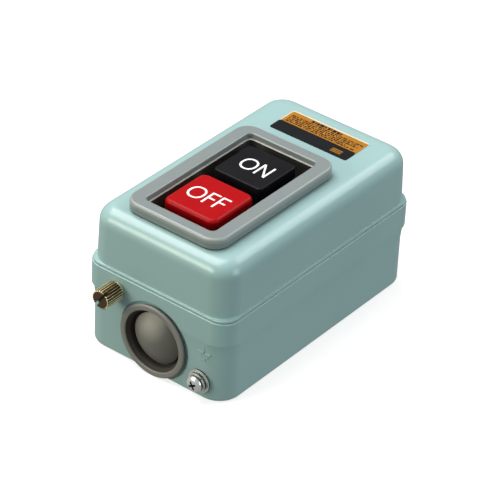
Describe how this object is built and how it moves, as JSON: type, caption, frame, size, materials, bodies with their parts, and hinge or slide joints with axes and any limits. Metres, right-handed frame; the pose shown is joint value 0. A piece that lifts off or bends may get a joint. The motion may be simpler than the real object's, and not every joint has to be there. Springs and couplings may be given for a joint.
{
  "type": "push button motor starter",
  "caption": "Wall-mounted manual motor starter in a small metal case with ON and OFF push buttons, hinged cover, cable grommets and an earth screw.",
  "frame": {"origin": "centre of the case's flat back, on the wall plane", "axes": "+Z out of the wall through the buttons, +Y along the case from the visible cable entry to the hinge, +X to the right"},
  "size_m": [0.077, 0.1478, 0.0727],
  "materials": {
    "case_paint": "glossy pale green-blue enamel on a die-cast alloy case",
    "bezel_plastic": "satin light grey moulding, fine grain",
    "grommet_rubber": "matt warm grey rubber",
    "on_plastic": "satin black moulding",
    "off_plastic": "glossy red moulding",
    "plate_foil": "printed gold foil, dark band",
    "screw_brass": "aged brass, knurled",
    "phenolic": "black moulded phenolic",
    "contact_copper": "rolled copper strip",
    "zinc_steel": "bright zinc plate",
    "steel": "plain turned or pressed steel"
  },
  "bodies": {
    "case": {"base_housing": "case_paint", "cable_grommet_front": "grommet_rubber", "cable_grommet_rear": "grommet_rubber", "hinge_pin_left": "steel", "hinge_pin_right": "steel", "earth_washer": "zinc_steel", "earth_lock_washer": "zinc_steel", "earth_screw": "zinc_steel", "switch_base": "phenolic", "switch_housing": "phenolic", "switch_screw_1": "zinc_steel", "switch_screw_2": "zinc_steel", "switch_screw_3": "zinc_steel", "switch_screw_4": "zinc_steel", "line_terminal_1": "contact_copper", "line_clamp_1": "zinc_steel", "line_screw_1": "zinc_steel", "line_terminal_2": "contact_copper", "line_clamp_2": "zinc_steel", "line_screw_2": "zinc_steel", "line_terminal_3": "contact_copper", "line_clamp_3": "zinc_steel", "line_screw_3": "zinc_steel", "load_terminal_1": "contact_copper", "load_clamp_1": "zinc_steel", "load_screw_1": "zinc_steel", "load_terminal_2": "contact_copper", "load_clamp_2": "zinc_steel", "load_screw_2": "zinc_steel", "load_terminal_3": "contact_copper", "load_clamp_3": "zinc_steel", "load_screw_3": "zinc_steel", "latch_pin": "steel", "latch_spring": "steel", "on_return_spring": "steel", "off_return_spring": "steel", "carriage_spring_front": "steel", "carriage_spring_rear": "steel"},
    "cover": {"cover_shell": "case_paint", "bezel_frame": "bezel_plastic", "rating_plate": "plate_foil"},
    "thumb_screw": {"thumb_screw": "screw_brass", "thumb_screw_clip": "steel"},
    "clamp_nut": {"clamp_nut": "steel"},
    "on_button": {"on_button": "on_plastic"},
    "off_button": {"off_button": "off_plastic"},
    "carriage": {"contact_carriage": "phenolic", "moving_contact_1": "contact_copper", "moving_contact_2": "contact_copper", "moving_contact_3": "contact_copper", "contact_spring_1": "steel", "contact_spring_2": "steel", "contact_spring_3": "steel"},
    "latch_lever": {"latch_lever": "steel"}
  },
  "joints": [
    {"name": "cover_hinge", "type": "hinge", "parent": "case", "child": "cover", "pos_m": [0, 0.0686, 0.0408], "axis": [-1, 0, 0], "range_deg": [0, 110]},
    {"name": "thumb_screw_turn", "type": "hinge", "parent": "case", "child": "thumb_screw", "pos_m": [-0.01975, -0.0655, 0.0341], "axis": [0, -1, 0], "range_deg": [0, 1080]},
    {"name": "clamp_nut_travel", "type": "slide", "parent": "case", "child": "clamp_nut", "axis": [0, 1, 0], "range_m": [0, 0.0021]},
    {"name": "on_press", "type": "slide", "parent": "case", "child": "on_button", "axis": [0, 0, -1], "range_m": [0, 0.0045], "stiffness_N_per_m": 1200, "deforming": ["on_return_spring"]},
    {"name": "carriage_travel", "type": "slide", "parent": "case", "child": "carriage", "axis": [0, 0, -1], "range_m": [0, 0.0045], "deforming": ["carriage_spring_front", "carriage_spring_rear"]},
    {"name": "off_press", "type": "slide", "parent": "case", "child": "off_button", "axis": [0, 0, -1], "range_m": [0, 0.0045], "stiffness_N_per_m": 1200, "deforming": ["off_return_spring"]},
    {"name": "latch_pivot", "type": "hinge", "parent": "case", "child": "latch_lever", "pos_m": [0, -0.017, 0.0434], "axis": [1, 0, 0], "range_deg": [0, 17.6]}
  ],
  "couplings": [
    {"joint": "thumb_screw_turn", "follows": "clamp_nut_travel", "rad_per_m": 8975.9},
    {"joint": "carriage_travel", "follows": "on_press", "ratio": 1},
    {"joint": "latch_pivot", "follows": "off_press", "rad_per_m": 67.5}
  ]
}
